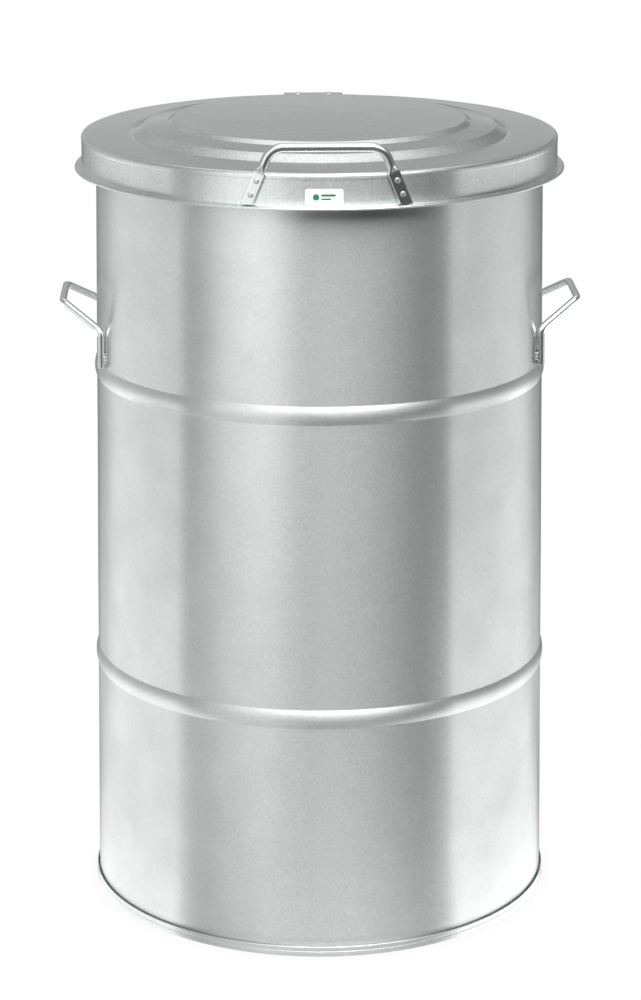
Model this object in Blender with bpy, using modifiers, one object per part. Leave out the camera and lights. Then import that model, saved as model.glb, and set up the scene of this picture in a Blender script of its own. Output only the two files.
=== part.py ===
"""Galvanised waste can with a hinged lid: sheet steel body, stepped lid, rod handles.

The can stands on Z = 0 with its axis on Z. The lid handle is at -Y, the hinge at +Y and
the carrying handles at -X and +X. All sizes are in metres.
"""

import math

import bmesh
import bpy
from mathutils import Vector

# Sheet and fits
SHEET = 0.0008
GAP = 0.0003
SEGMENTS = 48
RIVET_SEGMENTS = 12
PIN_SEGMENTS = 16
SHARP_ANGLE = math.radians(35)
MERGE = 0.00005
BORE_CLEARANCE = 1.5 * GAP
BORE_LENGTH = 0.012

# Body: a straight wall with two pressed hoops and a rim rolled over a wire
BODY_RADIUS = 0.250
WALL_FOOT = 0.0016
HOOP_HEIGHTS = (0.2571, 0.5834)
HOOP_HALF_HEIGHT = 0.0101
HOOP_BULGE = 0.0024
RIM_CURL_RADIUS = 0.0035
RIM_TOP = 0.8429

# Base pan: a recessed floor whose edge folds up round the foot of the wall
CHIME_RADIUS = 0.2523
CHIME_HEIGHT = 0.0104
FLOOR_HEIGHT = 0.0130

# Lid: a stepped disc with a skirt and a folded edge, its heights measured on the top face
SKIRT_RADIUS = 0.2663
FOLD_RADIUS = 0.0040
LID_TOP = 0.8440
SHOULDER_TOP = 0.8457
TREAD_BOTTOM = 0.8525
TREAD_TOP = 0.8558
PLATEAU_TOP = 0.8600
CROWN = 0.0015
LEDGE_HEIGHT = 0.8086
EDGE_RADIUS = 0.2739
HEM_RADIUS = 0.0014

# Lid steps: where each rounded corner starts and ends, and the height it takes
PLATEAU_EDGE = (0.1620, 0.1650, 0.0006)
TREAD_EDGE = (0.1695, 0.1720, 0.0006)
TREAD_FOOT = (0.1965, 0.1990, 0.0006)
SHOULDER_EDGE = (0.2100, 0.2130, 0.0006)

# Lid handle: a round bar with flattened ends, riveted to the skirt
BAR_RADIUS = 0.0050
BAR_HEIGHT = 0.8708
BEND_RADIUS = 0.020
STRAP_WIDTH = 0.0130
STRAP_THICKNESS = 0.0030
STRAP_ANGLE = math.radians(16.5)
STRAP_LEAN = math.radians(22.9)
STRAP_CENTRE_HEIGHT = 0.8276
STRAP_FOOT_HEIGHT = LEDGE_HEIGHT + 0.0010
STRAP_TOP = 0.0160
BAR_START = 0.0265
RIVET_HALF_SPACING = 0.0080

# Carrying handles: bent rods welded to the wall above the upper hoop
ROD_RADIUS = 0.0038
GRIP_OUT = 0.2862
GRIP_HALF_LENGTH = 0.0440
GRIP_HEIGHT = 0.6625
FOOT_ANGLE = math.radians(17.2)
FOOT_BOTTOM = 0.5940
FOOT_TOP = 0.6350
ROD_BEND = 0.012

# Hinge: two leaves and a pin at the back, just under the lid's folded edge
HINGE_Y = 0.2711
HINGE_Z = 0.7970
LEAF = 0.0012
BARREL_RADIUS = 0.0042
PIN_RADIUS = 0.0026
LID_LEAF_WIDTH = 0.070
LID_LEAF_FRONT = 0.246
LID_LEAF_LIFT = 0.0007
LID_LEAF_BEND = 0.012
BODY_LEAF_WIDTH = 0.040
BODY_LEAF_FOOT = 0.744
BODY_LEAF_STAND = GAP + 0.0001
BODY_LEAF_BEND = 0.0030
KNUCKLE_NOTCH = (0.030, 0.0135)
PIN_HEAD_RADIUS = 0.0038
PIN_HEAD_LENGTH = 0.0016

# Rivets: (head radius, head height, shank radius, tail radius, tail height)
STRAP_RIVET = (0.0032, 0.0012, 0.0020, 0.0032, 0.0010)
LID_LEAF_RIVET = (0.0052, 0.0012, 0.0022, 0.0030, 0.0009)
BODY_LEAF_RIVET = (0.0040, 0.0018, 0.0022, 0.0036, 0.0010)
LID_LEAF_RIVET_X = 0.0185
LID_LEAF_RIVET_Y = 0.2591
BODY_LEAF_RIVET_X = 0.0120
BODY_LEAF_RIVET_HEIGHTS = (0.7540, 0.7720)
WALL_SAG = 0.0023

# Label: a plain plate stuck to the front of the skirt
LABEL_WIDTH = 0.040
LABEL_HEIGHT = 0.0166
LABEL_CORNER = 0.0022
LABEL_THICKNESS = 0.0004
LABEL_X = -0.0030
LABEL_Z = 0.8191

# Finishes: (red, green, blue), roughness, metallic
SHEET_STEEL = ((0.62, 0.64, 0.63), 0.34, 1.0)
ROD_STEEL = ((0.66, 0.68, 0.67), 0.28, 1.0)
HINGE_STEEL = ((0.52, 0.54, 0.53), 0.38, 1.0)
LABEL_WHITE = ((0.90, 0.91, 0.90), 0.45, 0.0)


def clear_scene():
    for item in list(bpy.data.objects):
        bpy.data.objects.remove(item, do_unlink=True)


def new_collection(name, hidden=False):
    collection = bpy.data.collections.new(name)
    bpy.context.scene.collection.children.link(collection)
    collection.hide_render = hidden
    return collection


def finish_material(part, finish):
    colour, roughness, metallic = finish
    material = bpy.data.materials.new(part.name + "_finish")
    material.use_nodes = True
    shader = material.node_tree.nodes["Principled BSDF"]
    shader.inputs["Base Color"].default_value = (*colour, 1.0)
    shader.inputs["Roughness"].default_value = roughness
    shader.inputs["Metallic"].default_value = metallic
    material.diffuse_color = (*colour, 1.0)
    part.data.materials.clear()
    part.data.materials.append(material)


def add_part(name, mesh, finish):
    part = bpy.data.objects.new(name, mesh)
    CAN.objects.link(part)
    finish_material(part, finish)
    return part


def bake(part):
    """Applies the modifiers, then shades the round faces smooth and keeps the edges sharp."""
    bpy.context.view_layer.update()
    evaluated = part.evaluated_get(bpy.context.evaluated_depsgraph_get())
    mesh = bpy.data.meshes.new_from_object(evaluated)
    part.modifiers.clear()
    part.data = mesh
    mesh.shade_smooth()
    mesh.set_sharp_from_angle(angle=SHARP_ANGLE)


def arc(centre_r, centre_z, radius, start, end, steps):
    """Points on an arc in the (radius, height) plane, with its angles in degrees."""
    points = []
    for step in range(steps + 1):
        angle = math.radians(start + (end - start) * step / steps)
        points.append((centre_r + radius * math.cos(angle), centre_z + radius * math.sin(angle)))
    return points


def offset_path(path, distance):
    """The path moved sideways, to the right of its direction of travel."""
    moved = []
    for index, point in enumerate(path):
        here = Vector(point)
        before = Vector(path[max(index - 1, 0)])
        after = Vector(path[min(index + 1, len(path) - 1)])
        along_in = (here - before).normalized() if index else (after - here).normalized()
        along_out = (after - here).normalized() if index < len(path) - 1 else along_in
        normal = Vector((along_in.y + along_out.y, -along_in.x - along_out.x)).normalized()
        spread = max(normal.dot(Vector((along_in.y, -along_in.x))), 0.5)
        moved.append(tuple(here + normal * distance / spread))
    return moved


def turned(name, outline, on_axis, finish, segments=SEGMENTS):
    """A solid turned about Z from an outline of (radius, height) points."""
    pairs = zip(outline, outline[1:] + outline[:1])
    area = sum(a[0] * b[1] - b[0] * a[1] for a, b in pairs)
    if area > 0:
        outline = outline[::-1]
    vertices = [(radius, 0.0, height) for radius, height in outline]
    edges = [(i, i + 1) for i in range(len(vertices) - 1)]
    if not on_axis:
        edges.append((len(vertices) - 1, 0))
    mesh = bpy.data.meshes.new(name)
    mesh.from_pydata(vertices, edges, [])
    part = add_part(name, mesh, finish)
    screw = part.modifiers.new("Turn", "SCREW")
    screw.steps = segments
    screw.render_steps = segments
    screw.use_merge_vertices = True
    screw.merge_threshold = MERGE
    return part


def cut_bore(part, centre, direction, shank_radius):
    """Cuts the bore for a rivet's shank with a cylinder kept in the cutters collection."""
    radius = shank_radius + BORE_CLEARANCE
    mesh = bpy.data.meshes.new("bore")
    work = bmesh.new()
    bmesh.ops.create_cone(
        work,
        cap_ends=True,
        segments=RIVET_SEGMENTS,
        radius1=radius,
        radius2=radius,
        depth=BORE_LENGTH,
    )
    work.to_mesh(mesh)
    work.free()
    cutter = bpy.data.objects.new(part.name + "_bore_cutter", mesh)
    CUTTERS.objects.link(cutter)
    cutter.location = centre
    cutter.rotation_mode = "QUATERNION"
    cutter.rotation_quaternion = Vector(direction).to_track_quat("Z", "Y")
    hide_cutter(cutter)
    cut = part.modifiers.new("Bore", "BOOLEAN")
    cut.operation = "DIFFERENCE"
    cut.solver = "EXACT"
    cut.object = cutter


def hide_cutter(cutter):
    cutter.hide_render = True
    cutter.display_type = "WIRE"


def rivet(name, seat, direction, grip, sizes, finish):
    """A rivet whose head sits on the seat point, with its shank running against direction."""
    head_radius, head_height, shank_radius, tail_radius, tail_height = sizes
    outline = [(0.0, head_height)]
    for step in (1, 2):
        angle = math.radians(90 - 30 * step)
        outline.append((head_radius * math.cos(angle), head_height * math.sin(angle)))
    outline += [(head_radius, 0.0), (shank_radius, 0.0), (shank_radius, -grip)]
    outline += [(tail_radius, -grip), (0.7 * tail_radius, -grip - tail_height)]
    outline.append((0.0, -grip - tail_height))
    part = turned(name, outline, True, finish, RIVET_SEGMENTS)
    bake(part)
    part.location = seat
    part.rotation_mode = "QUATERNION"
    part.rotation_quaternion = Vector(direction).to_track_quat("Z", "Y")
    return part


# --- Body -----------------------------------------------------------------------------


def hoop(height):
    """The outer face of one pressed hoop, from its top edge down."""
    points = []
    for step in range(5):
        angle = math.pi * step / 4
        rise = math.sin(angle) ** 0.8 if 0 < step < 4 else 0.0
        points.append(
            (BODY_RADIUS + HOOP_BULGE * rise, height + HOOP_HALF_HEIGHT * math.cos(angle))
        )
    return points


def build_body_shell():
    """The wall is drawn on its outer face, from the open end of the rim's curl down to its foot."""
    wire_side = RIM_CURL_RADIUS - SHEET
    centre_r = BODY_RADIUS + wire_side
    centre_z = RIM_TOP - RIM_CURL_RADIUS
    path = arc(centre_r, centre_z, wire_side, -120, 180, 8)
    path += hoop(HOOP_HEIGHTS[1]) + hoop(HOOP_HEIGHTS[0])
    path.append((BODY_RADIUS, WALL_FOOT))
    outline = path + offset_path(path, SHEET)[::-1]
    part = turned("body_shell", outline, False, SHEET_STEEL)
    for seat, direction in body_leaf_rivet_seats():
        cut_bore(part, seat, direction, BODY_LEAF_RIVET[2])
    bake(part)
    return part


def base_pan_outline():
    """The floor, its down-turned edge, and the fold that comes up outside the wall's foot."""
    web = BODY_RADIUS - SHEET - GAP
    lower_face = FLOOR_HEIGHT - SHEET
    fold_inside = CHIME_RADIUS - SHEET
    outline = [(0.0, FLOOR_HEIGHT), (web - 0.0016, FLOOR_HEIGHT), (web, FLOOR_HEIGHT - 0.0016)]
    outline += [(web, SHEET), (fold_inside, SHEET), (fold_inside, CHIME_HEIGHT)]
    outline += [(CHIME_RADIUS - 0.0003, CHIME_HEIGHT), (CHIME_RADIUS, CHIME_HEIGHT - 0.0003)]
    outline += [(CHIME_RADIUS, 0.0006), (CHIME_RADIUS - 0.0006, 0.0)]
    outline += [(web - SHEET + 0.0006, 0.0), (web - SHEET, 0.0006)]
    outline += [(web - SHEET, lower_face - 0.0010), (web - SHEET - 0.0010, lower_face)]
    outline.append((0.0, lower_face))
    return outline


def build_top_rim_wire():
    wire_radius = RIM_CURL_RADIUS - SHEET - GAP
    centre_r = BODY_RADIUS + RIM_CURL_RADIUS - SHEET
    outline = arc(centre_r, RIM_TOP - RIM_CURL_RADIUS, wire_radius, 0, 360, 6)[:-1]
    part = turned("top_rim_wire", outline, False, ROD_STEEL)
    bake(part)
    return part


# --- Lid ------------------------------------------------------------------------------


def build_lid_shell():
    """The lid is drawn on its top face, from the centre out to the folded edge."""
    inner, outer, drop = PLATEAU_EDGE
    path = [(inner * x, PLATEAU_TOP + CROWN * (1 - x * x)) for x in (0.0, 0.4, 0.7, 1.0)]
    path.append((outer, PLATEAU_TOP - drop))
    inner, outer, drop = TREAD_EDGE
    path += [(inner, TREAD_TOP + drop), (outer, TREAD_TOP)]
    inner, outer, drop = TREAD_FOOT
    path += [(inner, TREAD_BOTTOM), (outer, TREAD_BOTTOM - drop)]
    inner, outer, drop = SHOULDER_EDGE
    path += [(inner, SHOULDER_TOP + drop), (outer, SHOULDER_TOP)]
    fold_r = SKIRT_RADIUS - FOLD_RADIUS
    path += arc(fold_r, LID_TOP - FOLD_RADIUS, FOLD_RADIUS, 90, 0, 3)
    path += [(SKIRT_RADIUS, LEDGE_HEIGHT + 0.0009), (SKIRT_RADIUS + 0.0009, LEDGE_HEIGHT)]
    path += arc(EDGE_RADIUS - HEM_RADIUS, LEDGE_HEIGHT - HEM_RADIUS, HEM_RADIUS, 90, -90, 4)
    path.append((EDGE_RADIUS - 0.0045, LEDGE_HEIGHT - 2 * HEM_RADIUS))
    under = offset_path(path, SHEET)
    under[0] = (0.0, PLATEAU_TOP + CROWN - SHEET)
    part = turned("lid_shell", path + under[::-1], True, SHEET_STEEL)
    for seat, direction in strap_rivet_seats():
        cut_bore(part, seat, direction, STRAP_RIVET[2])
    for seat, direction in lid_leaf_rivet_seats():
        cut_bore(part, seat, direction, LID_LEAF_RIVET[2])
    bake(part)
    return part


def strap_frame(side):
    """Outward normal, sideways direction and long direction of one flattened handle end."""
    angle = side * STRAP_ANGLE
    outward = Vector((math.sin(angle), -math.cos(angle), 0.0))
    sideways = Vector((math.cos(angle), math.sin(angle), 0.0)) * side
    along = Vector((0, 0, 1)) * math.cos(STRAP_LEAN) - sideways * math.sin(STRAP_LEAN)
    return outward, sideways, along


def strap_centre(side):
    outward = strap_frame(side)[0]
    reach = SKIRT_RADIUS + GAP + STRAP_THICKNESS / 2
    return outward * reach + Vector((0, 0, STRAP_CENTRE_HEIGHT))


def strap_rivet_seats():
    """Where each strap rivet's head sits, and which way it faces."""
    seats = []
    for side in (-1, 1):
        outward, _, along = strap_frame(side)
        for shift in (RIVET_HALF_SPACING, -RIVET_HALF_SPACING):
            face = strap_centre(side) + outward * (STRAP_THICKNESS / 2 + GAP)
            seats.append((face + along * shift, outward))
    return seats


def strap_section(share):
    """Half width, half thickness and squareness of the handle, from strap (0) to bar (1)."""
    eased = share * share * (3 - 2 * share)
    half_width = STRAP_WIDTH / 2 + (BAR_RADIUS - STRAP_WIDTH / 2) * eased
    half_thickness = STRAP_THICKNESS / 2 + (BAR_RADIUS - STRAP_THICKNESS / 2) * eased
    return half_width, half_thickness, 0.35 + 0.65 * eased


def section_ring(centre, across, outward, half_width, half_thickness, squareness, count=12):
    ring = []
    for step in range(count):
        angle = 2 * math.pi * (step + 0.5) / count
        c, s = math.cos(angle), math.sin(angle)
        x = math.copysign(abs(c) ** squareness, c) * half_width
        y = math.copysign(abs(s) ** squareness, s) * half_thickness
        ring.append(centre + across * x + outward * y)
    return ring


def lid_handle_half(side):
    """Rings of one half of the handle, from the strap's foot to the start of the bar."""
    outward, sideways, along = strap_frame(side)
    across = outward.cross(along).normalized()
    base = strap_centre(side)
    rings = [section_ring(base, across, outward, *strap_section(0))]
    rings[0] = [point + along * ((STRAP_FOOT_HEIGHT - point.z) / along.z) for point in rings[0]]
    rings.append(section_ring(base + along * STRAP_TOP, across, outward, *strap_section(0)))
    for share in (0.35, 0.7, 1.0):
        distance = STRAP_TOP + (BAR_START - STRAP_TOP) * share
        rings.append(section_ring(base + along * distance, across, outward, *strap_section(share)))
    corner = base + along * ((BAR_HEIGHT - STRAP_CENTRE_HEIGHT) / math.cos(STRAP_LEAN))
    bar = Vector((-side, 0, 0))
    turn = along.angle(bar)
    start = corner - along * BEND_RADIUS * math.tan(turn / 2)
    towards = (bar - along * bar.dot(along)).normalized()
    for step in range(6):
        angle = turn * step / 5
        centre = start + along * math.sin(angle) * BEND_RADIUS
        centre += towards * (1 - math.cos(angle)) * BEND_RADIUS
        heading = along * math.cos(angle) + towards * math.sin(angle)
        ring_across = (outward.cross(heading)).normalized()
        ring_out = heading.cross(ring_across)
        rings.append(section_ring(centre, ring_across, ring_out, *strap_section(1)))
    return rings


def build_lid_handle():
    rings = lid_handle_half(-1)
    rings += [mirrored_ring(ring) for ring in lid_handle_half(-1)[::-1]]
    work = bmesh.new()
    rows = [[work.verts.new(point) for point in ring] for ring in rings]
    count = len(rows[0])
    for row, after in zip(rows, rows[1:]):
        for i in range(count):
            j = (i + 1) % count
            work.faces.new((row[i], row[j], after[j], after[i]))
    work.faces.new(rows[0][::-1])
    work.faces.new(rows[-1])
    bmesh.ops.recalc_face_normals(work, faces=work.faces)
    mesh = bpy.data.meshes.new("lid_handle")
    work.to_mesh(mesh)
    work.free()
    part = add_part("lid_handle", mesh, ROD_STEEL)
    for seat, direction in strap_rivet_seats():
        cut_bore(part, seat, direction, STRAP_RIVET[2])
    bake(part)
    return part


def mirrored_ring(ring):
    """The ring on the other side of X = 0, listed so that it still joins up point for point."""
    return [Vector((-point.x, point.y, point.z)) for point in ring]


def build_strap_rivets():
    names = ("left_upper", "left_lower", "right_upper", "right_lower")
    grip = STRAP_THICKNESS + SHEET + 4 * GAP
    for name, (seat, direction) in zip(names, strap_rivet_seats()):
        rivet("handle_rivet_" + name, seat, direction, grip, STRAP_RIVET, ROD_STEEL)


def build_label():
    """A thin rounded plate, bent to the skirt's curve."""
    work = bmesh.new()
    bmesh.ops.create_grid(work, x_segments=8, y_segments=2, size=0.5)
    half_width = LABEL_WIDTH / 2
    half_height = LABEL_HEIGHT / 2
    for vertex in work.verts:
        u = vertex.co.x * LABEL_WIDTH
        v = vertex.co.y * LABEL_HEIGHT
        if abs(vertex.co.x) > 0.49 and abs(vertex.co.y) > 0.49:
            u -= math.copysign(LABEL_CORNER * 0.4, u)
            v -= math.copysign(LABEL_CORNER * 0.4, v)
        u = max(-half_width, min(half_width, u))
        v = max(-half_height, min(half_height, v))
        radius = SKIRT_RADIUS + GAP
        angle = (u + LABEL_X) / radius
        vertex.co = (radius * math.sin(angle), -radius * math.cos(angle), LABEL_Z + v)
    bmesh.ops.recalc_face_normals(work, faces=work.faces)
    mesh = bpy.data.meshes.new("lid_label")
    work.to_mesh(mesh)
    work.free()
    part = add_part("lid_label", mesh, LABEL_WHITE)
    thick = part.modifiers.new("Thickness", "SOLIDIFY")
    thick.thickness = LABEL_THICKNESS
    outward = sum(face.normal.y for face in mesh.polygons) < 0
    thick.offset = 1.0 if outward else -1.0
    bake(part)
    return part


# --- Carrying handles -----------------------------------------------------------------


def rounded_path(points, radius, steps):
    """A path through the points with each corner turned into an arc."""
    corners = [Vector(point) for point in points]
    path = [corners[0]]
    for before, corner, after in zip(corners, corners[1:], corners[2:]):
        to_before = (before - corner).normalized()
        to_after = (after - corner).normalized()
        half = to_before.angle(to_after) / 2
        centre = corner + (to_before + to_after).normalized() * radius / math.sin(half)
        start = (corner + to_before * radius / math.tan(half) - centre).normalized()
        end = (corner + to_after * radius / math.tan(half) - centre).normalized()
        for step in range(steps + 1):
            path.append(centre + start.slerp(end, step / steps) * radius)
    path.append(corners[-1])
    return path


def rod(name, path, radius, finish):
    """A round rod along a path, made a mesh with closed ends."""
    curve = bpy.data.curves.new(name, "CURVE")
    curve.dimensions = "3D"
    curve.bevel_depth = radius
    curve.bevel_resolution = 2
    curve.use_fill_caps = True
    spline = curve.splines.new("POLY")
    spline.points.add(len(path) - 1)
    for point, place in zip(spline.points, path):
        point.co = (*place, 1.0)
    guide = bpy.data.objects.new(name + "_path", curve)
    CAN.objects.link(guide)
    bpy.context.view_layer.update()
    evaluated = guide.evaluated_get(bpy.context.evaluated_depsgraph_get())
    mesh = bpy.data.meshes.new_from_object(evaluated)
    bpy.data.objects.remove(guide, do_unlink=True)
    work = bmesh.new()
    work.from_mesh(mesh)
    bmesh.ops.remove_doubles(work, verts=work.verts, dist=MERGE)
    bmesh.ops.recalc_face_normals(work, faces=work.faces)
    work.to_mesh(mesh)
    work.free()
    part = add_part(name, mesh, finish)
    bake(part)
    return part


def build_side_handles():
    reach = BODY_RADIUS + ROD_RADIUS + GAP
    foot_x = reach * math.cos(FOOT_ANGLE)
    foot_y = reach * math.sin(FOOT_ANGLE)
    for side, name in ((-1, "left_side_handle"), (1, "right_side_handle")):
        points = [
            (side * foot_x, -foot_y, FOOT_BOTTOM),
            (side * foot_x, -foot_y, FOOT_TOP),
            (side * GRIP_OUT, -GRIP_HALF_LENGTH, GRIP_HEIGHT),
            (side * GRIP_OUT, GRIP_HALF_LENGTH, GRIP_HEIGHT),
            (side * foot_x, foot_y, FOOT_TOP),
            (side * foot_x, foot_y, FOOT_BOTTOM),
        ]
        rod(name, rounded_path(points, ROD_BEND, 4), ROD_RADIUS, ROD_STEEL)


# --- Hinge ----------------------------------------------------------------------------


def extruded(name, outline, half_width, finish):
    """A solid made by pushing an outline of (y, z) points out along X."""
    work = bmesh.new()
    face = work.faces.new([work.verts.new((-half_width, y, z)) for y, z in outline])
    pushed = bmesh.ops.extrude_face_region(work, geom=[face])
    moved = [item for item in pushed["geom"] if isinstance(item, bmesh.types.BMVert)]
    bmesh.ops.translate(work, verts=moved, vec=(2 * half_width, 0, 0))
    bmesh.ops.recalc_face_normals(work, faces=work.faces)
    mesh = bpy.data.meshes.new(name)
    work.to_mesh(mesh)
    work.free()
    return add_part(name, mesh, finish)


def strip_outline(path):
    """The outline of a strip as thick as a leaf, with the path as its left side."""
    return path + offset_path(path, LEAF)[::-1]


def lid_leaf_path():
    """From the front edge on the lid, back over the fold, down and round the pin."""
    top = LID_TOP + LID_LEAF_LIFT + LEAF
    back = HINGE_Y + BARREL_RADIUS
    bend = LID_LEAF_BEND
    path = [(LID_LEAF_FRONT, top)] + arc(back - bend, top - bend, bend, 90, 0, 8)
    path += arc(HINGE_Y, HINGE_Z, BARREL_RADIUS, 0, -290, 14)
    return path


def body_leaf_path():
    """From the leaf's foot, up the wall, out under the pin and round it."""
    wall_face = BODY_RADIUS + BODY_LEAF_STAND
    shelf = HINGE_Z - BARREL_RADIUS
    bend = BODY_LEAF_BEND
    path = [(wall_face, BODY_LEAF_FOOT)]
    path += arc(wall_face + bend, shelf + LEAF - bend, bend, 180, 90, 4)
    path += arc(HINGE_Y, HINGE_Z, BARREL_RADIUS - LEAF, -90, 200, 14)
    return path


def lid_leaf_rivet_seats():
    """Where each rivet's head sits on the lid leaf, and which way it faces."""
    height = LID_TOP + LID_LEAF_LIFT + LEAF + GAP
    return [
        (Vector((x, LID_LEAF_RIVET_Y, height)), Vector((0, 0, 1)))
        for x in (-LID_LEAF_RIVET_X, LID_LEAF_RIVET_X)
    ]


def body_leaf_rivet_seats():
    """Where each rivet's head sits on the body leaf, and which way it faces."""
    face = BODY_RADIUS + BODY_LEAF_STAND + LEAF + GAP
    seats = []
    for height in BODY_LEAF_RIVET_HEIGHTS:
        for x in (-BODY_LEAF_RIVET_X, BODY_LEAF_RIVET_X):
            seats.append((Vector((x, face, height)), Vector((0, 1, 0))))
    return seats


def build_hinge_lid_leaf():
    part = extruded("hinge_lid_leaf", strip_outline(lid_leaf_path()), LID_LEAF_WIDTH / 2, HINGE_STEEL)
    notch = bpy.data.meshes.new("knuckle_notch")
    work = bmesh.new()
    bmesh.ops.create_cube(work, size=1.0)
    work.to_mesh(notch)
    work.free()
    cutter = bpy.data.objects.new("knuckle_notch_cutter", notch)
    CUTTERS.objects.link(cutter)
    cutter.scale = (BODY_LEAF_WIDTH + 4 * GAP, *KNUCKLE_NOTCH)
    cutter.location = (0, HINGE_Y, HINGE_Z)
    hide_cutter(cutter)
    cut = part.modifiers.new("Notch", "BOOLEAN")
    cut.operation = "DIFFERENCE"
    cut.solver = "EXACT"
    cut.object = cutter
    for seat, direction in lid_leaf_rivet_seats():
        cut_bore(part, seat, direction, LID_LEAF_RIVET[2])
    bake(part)
    return part


def build_hinge_body_leaf():
    part = extruded(
        "hinge_body_leaf", strip_outline(body_leaf_path()), BODY_LEAF_WIDTH / 2, HINGE_STEEL
    )
    for seat, direction in body_leaf_rivet_seats():
        cut_bore(part, seat, direction, BODY_LEAF_RIVET[2])
    bake(part)
    return part


def build_hinge_pin():
    half = LID_LEAF_WIDTH / 2 + GAP
    outline = [(0.0, half + PIN_HEAD_LENGTH), (PIN_HEAD_RADIUS * 0.7, half + PIN_HEAD_LENGTH)]
    outline += [(PIN_HEAD_RADIUS, half + PIN_HEAD_LENGTH * 0.5), (PIN_HEAD_RADIUS, half)]
    outline += [(PIN_RADIUS, half)]
    outline += [(radius, -height) for radius, height in outline[::-1]]
    part = turned("hinge_pin", outline, True, HINGE_STEEL, PIN_SEGMENTS)
    bake(part)
    part.location = (0, HINGE_Y, HINGE_Z)
    part.rotation_euler = (0, math.pi / 2, 0)
    return part


def build_leaf_rivets():
    grip = LEAF + LID_LEAF_LIFT + SHEET + 2 * GAP
    for name, (seat, direction) in zip(("left", "right"), lid_leaf_rivet_seats()):
        rivet("lid_leaf_rivet_" + name, seat, direction, grip, LID_LEAF_RIVET, HINGE_STEEL)
    names = ("lower_left", "lower_right", "upper_left", "upper_right")
    grip = LEAF + SHEET + WALL_SAG
    for name, (seat, direction) in zip(names, body_leaf_rivet_seats()):
        rivet("body_leaf_rivet_" + name, seat, direction, grip, BODY_LEAF_RIVET, HINGE_STEEL)


clear_scene()
CAN = new_collection("waste_can")
CUTTERS = new_collection("cutters", hidden=True)

build_body_shell()
bake(turned("base_pan", base_pan_outline(), True, SHEET_STEEL))
build_top_rim_wire()
build_side_handles()
build_lid_shell()
build_lid_handle()
build_strap_rivets()
build_label()
build_hinge_lid_leaf()
build_hinge_body_leaf()
build_hinge_pin()
build_leaf_rivets()
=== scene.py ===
"""Looks of the galvanised waste can: fine surfaces, materials, studio light and camera.

Everything is in metres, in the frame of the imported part: the can stands on Z = 0 with its
axis on Z, the lid handle at -Y, the hinge at +Y and the carrying handles at -X and +X.
An outline is a list of (radius, height) points; an angle about Z is 0 at -Y and 90 at +X.
"""

import math

import bmesh
import bpy
from mathutils import Matrix, Vector, noise


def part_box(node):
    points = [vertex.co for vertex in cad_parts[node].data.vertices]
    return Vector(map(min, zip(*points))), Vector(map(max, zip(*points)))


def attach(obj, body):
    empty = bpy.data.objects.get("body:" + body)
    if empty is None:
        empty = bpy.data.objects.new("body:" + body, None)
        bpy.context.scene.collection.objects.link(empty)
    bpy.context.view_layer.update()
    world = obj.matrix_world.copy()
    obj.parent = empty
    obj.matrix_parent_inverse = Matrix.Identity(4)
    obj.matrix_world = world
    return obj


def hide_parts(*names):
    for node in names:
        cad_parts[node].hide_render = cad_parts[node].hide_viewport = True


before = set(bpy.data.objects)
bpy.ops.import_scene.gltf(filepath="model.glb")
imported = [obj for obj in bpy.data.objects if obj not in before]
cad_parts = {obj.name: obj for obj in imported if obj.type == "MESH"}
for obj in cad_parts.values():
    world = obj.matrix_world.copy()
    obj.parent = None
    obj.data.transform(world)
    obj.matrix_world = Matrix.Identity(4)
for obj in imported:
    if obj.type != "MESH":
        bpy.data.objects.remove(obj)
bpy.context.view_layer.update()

CAN = "can"
LID = "lid"

# Mesh finish
SEGMENTS = 256
ON_AXIS = 1e-6
ARC_STEP = math.radians(8)
SHARP_ANGLE = math.radians(32)
LEAF_SHARP_ANGLE = math.radians(20)
LONGEST_SPAN = 0.014

# Sheet and fits, as in the frame
SHEET = 0.0008
GAP = 0.0003


def lowest(node):
    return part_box(node)[0]


def highest(node):
    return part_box(node)[1]


def middle(node):
    low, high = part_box(node)
    return (low + high) / 2


# Body
RIM_CURL_RADIUS = 0.0035
RIM_TOP = highest("body_shell").z
WALL_FOOT = lowest("body_shell").z
BODY_RADIUS = highest("body_shell").x - 2 * RIM_CURL_RADIUS + SHEET
HOOP_HEIGHTS = (0.2571, 0.5834)
HOOP_HALF_HEIGHT = 0.0101
HOOP_BULGE = 0.0024
NECK_HEIGHT = 0.009
NECK_DEPTH = 0.0004
NECK_FILLET = 0.004
WALL_WAVE = 0.00018

# Base pan
CHIME_RADIUS = highest("base_pan").x
CHIME_HEIGHT = 0.0104
GROOVE_HEIGHT = CHIME_HEIGHT * 0.55
GROOVE_HALF_WIDTH = 0.0008
GROOVE_DEPTH = 0.0003
FLOOR_HEIGHT = highest("base_pan").z

# Lid: its heights are on the top face
HEM_RADIUS = 0.0014
EDGE_RADIUS = highest("lid_shell").x
SKIRT_RADIUS = EDGE_RADIUS - 0.0076
LEDGE_HEIGHT = lowest("lid_shell").z + 2 * HEM_RADIUS
CROWN = 0.0015
PLATEAU_TOP = highest("lid_shell").z - CROWN
TREAD_TOP = PLATEAU_TOP - 0.0042
TREAD_FOOT = PLATEAU_TOP - 0.0075
SHOULDER_TOP = PLATEAU_TOP - 0.0143
LID_TOP = PLATEAU_TOP - 0.0160
PLATEAU_RADIUS = 0.1640
TREAD_RADIUS = 0.1704
TREAD_FOOT_RADIUS = 0.1977
SHOULDER_RADIUS = 0.2110
CREASE = (0.0007, 0.0032)  # depth and width of the dip where the outer step meets the shoulder
CROWN_RADIUS = PLATEAU_RADIUS * 0.95
FOLD_RADIUS = 0.0040
FOLD_STAND = 0.0003
FOLD_DEPTH = 0.0062
HEM_DEPTH = 0.0045
SKIRT_WAVE = (0.00030, 0.00040)  # outward and upward
DENTED_WIDTH = 0.012
DENT_DEPTH = 0.00016

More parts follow.
